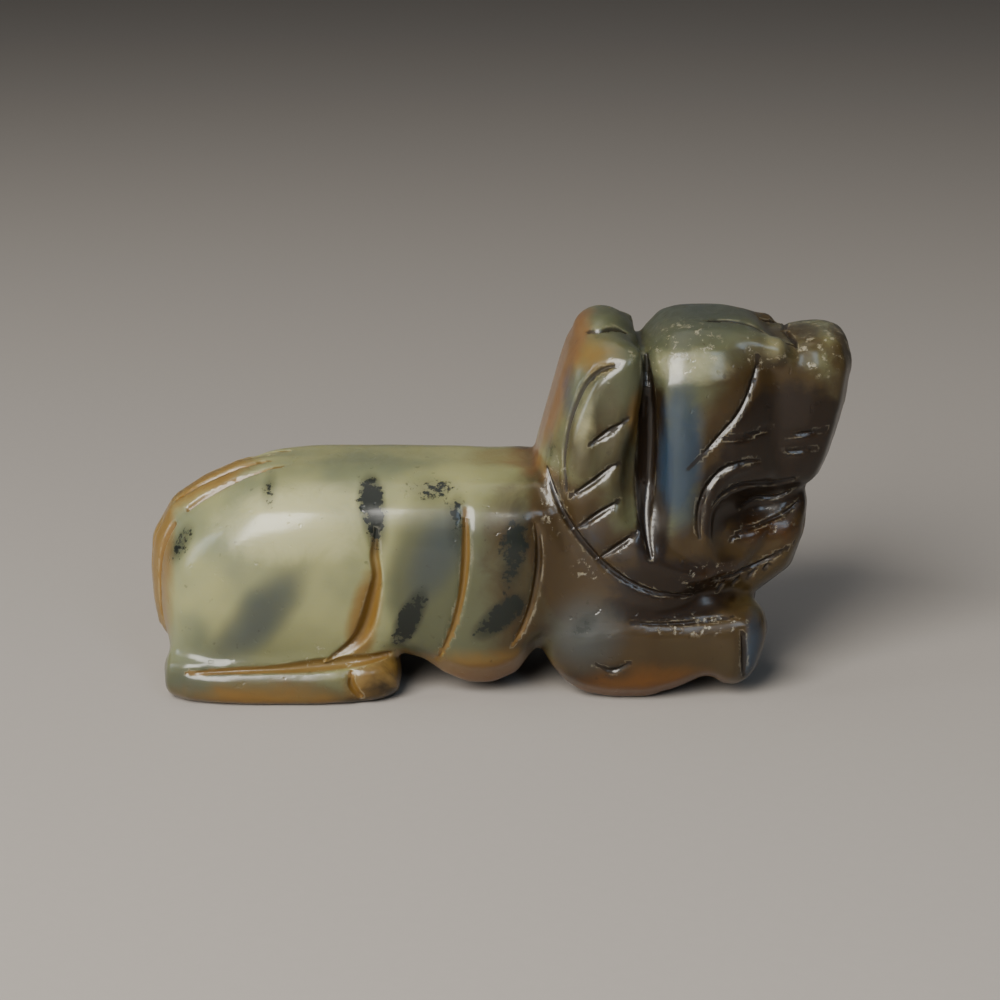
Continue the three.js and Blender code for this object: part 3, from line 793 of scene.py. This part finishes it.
def jade_relief(tree, where, bruise):
    """The slight relief of the skin: polishing waves, scratches, pits and bruises."""
    waves = drift(tree, where, scale=330, detail=3, roughness=0.5)
    scratch = drift(tree, where, scale=500, detail=2, roughness=0.6, stretch=(0.25, 1, 6))
    pits = ramp(tree, drift(tree, where, scale=1100, detail=2, roughness=0.5), low=0.66, high=0.74)
    sunk = share_of(tree, math_of(tree, "MAXIMUM", pits, bruise), share=-0.35)
    marks = math_of(tree, "ADD", share_of(tree, scratch, share=0.12), sunk)
    height = math_of(tree, "ADD", share_of(tree, waves, share=0.6), marks)
    return put(tree, "ShaderNodeBump", {"Height": height, "Strength": 0.45, "Distance": 0.12 * MM}).outputs[0]


def jade_roughness(tree, painted, noises, bruise):
    """Roughness of the stone: uneven with its veins, and more in the cuts and bruises."""
    ground = math_of(tree, "MAXIMUM", ramp(tree, painted["cut"], low=0.2, high=0.8), bruise)
    skin = math_of(tree, "ADD", SKIN_ROUGHNESS, share_of(tree, noises["vein"], share=0.24))
    return math_of(tree, "ADD", share_of(tree, ground, share=0.12), skin)


def polished_jade(colours):
    """Waxed, translucent jade, with its stains laid on by the attributes of the skin."""
    material = bpy.data.materials.new("polished_jade")
    material.use_nodes = True
    tree = material.node_tree
    tree.nodes.clear()
    where = put(tree, "ShaderNodeTexCoord").outputs["Object"]
    painted = {name: put(tree, "ShaderNodeAttribute", attribute_name=name).outputs["Fac"]
               for name in (*STAINS, "cut", "hollow")}
    noises = {
        "broad": drift(tree, where, scale=70, detail=3, roughness=0.55),
        "cloud": drift(tree, where, scale=260, detail=4, roughness=0.6, distortion=0.6),
        "fleck": drift(tree, where, scale=1500, detail=3, roughness=0.65),
        "vein": drift(tree, where, scale=420, detail=5, roughness=0.6, stretch=(1.6, 1, 0.7), distortion=1.2),
    }
    bruise = bruised_places(tree, where, painted)
    base = layered_stone(tree, colours, painted, noises)
    base = darkened_cuts(tree, base, where, colours, painted)
    base = inked_stone(tree, base, where, colours, painted, noises)
    base = frosted_and_glinting_stone(tree, base, where, colours, painted, bruise)
    relief = jade_relief(tree, where, bruise)
    shader = put(tree, "ShaderNodeBsdfPrincipled", {
        "Base Color": base, "Roughness": jade_roughness(tree, painted, noises, bruise), "Normal": relief,
        "IOR": 1.5, "Specular IOR Level": 0.2,
        "Subsurface Weight": 0.6, "Subsurface Radius": (1.0, 0.75, 0.38), "Subsurface Scale": colours.depth,
        "Coat Weight": 0.6, "Coat Roughness": colours.gloss, "Coat IOR": 1.5, "Coat Normal": relief})
    out = put(tree, "ShaderNodeOutputMaterial", {"Surface": shader.outputs[0]})
    out.target = "ALL"
    return material


def plain(name, rgb, roughness):
    """A plain matt finish whose tone is slightly uneven."""
    material = bpy.data.materials.new(name)
    material.use_nodes = True
    tree = material.node_tree
    shader = tree.nodes["Principled BSDF"]
    where = put(tree, "ShaderNodeTexCoord").outputs["Object"]
    darker = [channel * 0.96 for channel in rgb]
    tone = stained(tree, opaque(rgb), opaque(darker), drift(tree, where, scale=900, detail=3))
    tree.links.new(tone, shader.inputs["Base Color"])
    shader.inputs["Roughness"].default_value = roughness
    return material


# Operators


class JADE_OT_carve_dog(bpy.types.Operator):
    """Carve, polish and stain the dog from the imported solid"""
    bl_idname = "jade_dog.carve_dog"
    bl_label = "Carve the dog"

    def execute(self, context):
        sizes = context.scene.jade_sizes
        piece = welded_copy(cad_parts[SOLID])
        even_skin(piece, sizes.grain)
        mesh = piece.data
        spots = polished(mesh, sizes)
        set_corners(mesh, spots)
        set_corners(mesh, filled(mesh, spots))
        tracks = tracks_on(mesh)
        for reach in FINER_REACHES:
            finer_at_cuts(mesh, tracks, reach)
        spots = eased(corners(mesh), edge_ends(mesh), SMOOTHING, FINER_PASSES, SWELLING)
        set_corners(mesh, spots)
        normals = outward(mesh)
        depth, width = closeness(spots, tracks)
        spots = spots - normals * (sizes.bite * width * soften(depth) ** STEEPNESS)[:, None]
        spots = lifted_by_dabs(spots, normals)
        spots = wavered(spots, normals, sizes.waver)
        spots[:, 2] = np.maximum(spots[:, 2], 0)
        set_corners(mesh, spots)
        paint(mesh, "cut", depth)
        paint(mesh, "hollow", hollowness(mesh))
        for stain in STAINS:
            paint(mesh, stain, stain_strength(spots, stain))
        mesh.shade_smooth()
        mesh.materials.clear()
        mesh.materials.append(polished_jade(context.scene.jade_colours))
        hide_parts(SOLID)
        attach(piece, "root")
        return {"FINISHED"}


def softbox(light, aim, power):
    """A large soft light aimed at a point."""
    lamp = bpy.data.lights.new(light["name"], "AREA")
    lamp.shape = "RECTANGLE"
    lamp.size, lamp.size_y = light["size"]
    lamp.energy = power
    lamp.color = light["tint"]
    stand = bpy.data.objects.new(light["name"], lamp)
    stand.location = light["at"]
    stand.rotation_euler = (aim - Vector(light["at"])).to_track_quat("-Z", "Y").to_euler()
    bpy.context.scene.collection.objects.link(stand)


class JADE_OT_set_stage(bpy.types.Operator):
    """Lay the floor, hang the lights and stand the camera where the picture was taken"""
    bl_idname = "jade_dog.set_stage"
    bl_label = "Set the stage"

    def execute(self, context):
        stage = context.scene.jade_stage
        sheet = bmesh.new()
        bmesh.ops.create_grid(sheet, x_segments=1, y_segments=1, size=stage.floor / 2)
        mesh = bpy.data.meshes.new("floor")
        sheet.to_mesh(mesh)
        sheet.free()
        mesh.materials.append(plain("pale_paper", stage.floor_colour, FLOOR_ROUGHNESS))
        floor = bpy.data.objects.new("floor", mesh)
        context.scene.collection.objects.link(floor)
        floor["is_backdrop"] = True
        middle = Vector((0, 0, HEIGHT / 2))
        for light in LIGHTS:
            softbox(light, middle, getattr(stage, light["strength"]))
        world = context.scene.world or bpy.data.worlds.new("air")
        context.scene.world = world
        world.use_nodes = True
        air = world.node_tree.nodes["Background"]
        air.inputs["Color"].default_value = opaque(AIR_TINT)
        air.inputs["Strength"].default_value = stage.air
        lens = bpy.data.cameras.new("camera")
        lens.lens = LENS
        lens.sensor_width = SENSOR
        lens.clip_start = NEAREST
        lens.clip_end = FARTHEST
        camera = bpy.data.objects.new("camera", lens)
        camera.location = CAMERA_AT
        camera.rotation_euler = (math.radians(90 - CAMERA_DOWN), 0, 0)
        context.scene.collection.objects.link(camera)
        context.scene.camera = camera
        return {"FINISHED"}


class JADE_PT_dog(bpy.types.Panel):
    """The dog's sizes, its colours and the steps that make it"""
    bl_idname = "JADE_PT_dog"
    bl_label = "Jade Dog"
    bl_space_type = "VIEW_3D"
    bl_region_type = "UI"
    bl_category = "Jade Dog"

    def draw(self, context):
        layout = self.layout
        for group in (context.scene.jade_sizes, context.scene.jade_colours, context.scene.jade_stage):
            box = layout.box()
            for name in group.__annotations__:
                box.prop(group, name)
        for step in (JADE_OT_carve_dog, JADE_OT_set_stage):
            layout.operator(step.bl_idname)


CLASSES = (StoneSizes, StoneColours, StageSizes, JADE_OT_carve_dog, JADE_OT_set_stage, JADE_PT_dog)


def register():
    for kind in CLASSES:
        bpy.utils.register_class(kind)
    bpy.types.Scene.jade_sizes = bpy.props.PointerProperty(type=StoneSizes)
    bpy.types.Scene.jade_colours = bpy.props.PointerProperty(type=StoneColours)
    bpy.types.Scene.jade_stage = bpy.props.PointerProperty(type=StageSizes)


def unregister():
    del bpy.types.Scene.jade_stage
    del bpy.types.Scene.jade_colours
    del bpy.types.Scene.jade_sizes
    for kind in reversed(CLASSES):
        bpy.utils.unregister_class(kind)


def main():
    register()
    bpy.ops.jade_dog.carve_dog()
    bpy.ops.jade_dog.set_stage()


if __name__ == "__main__":
    main()
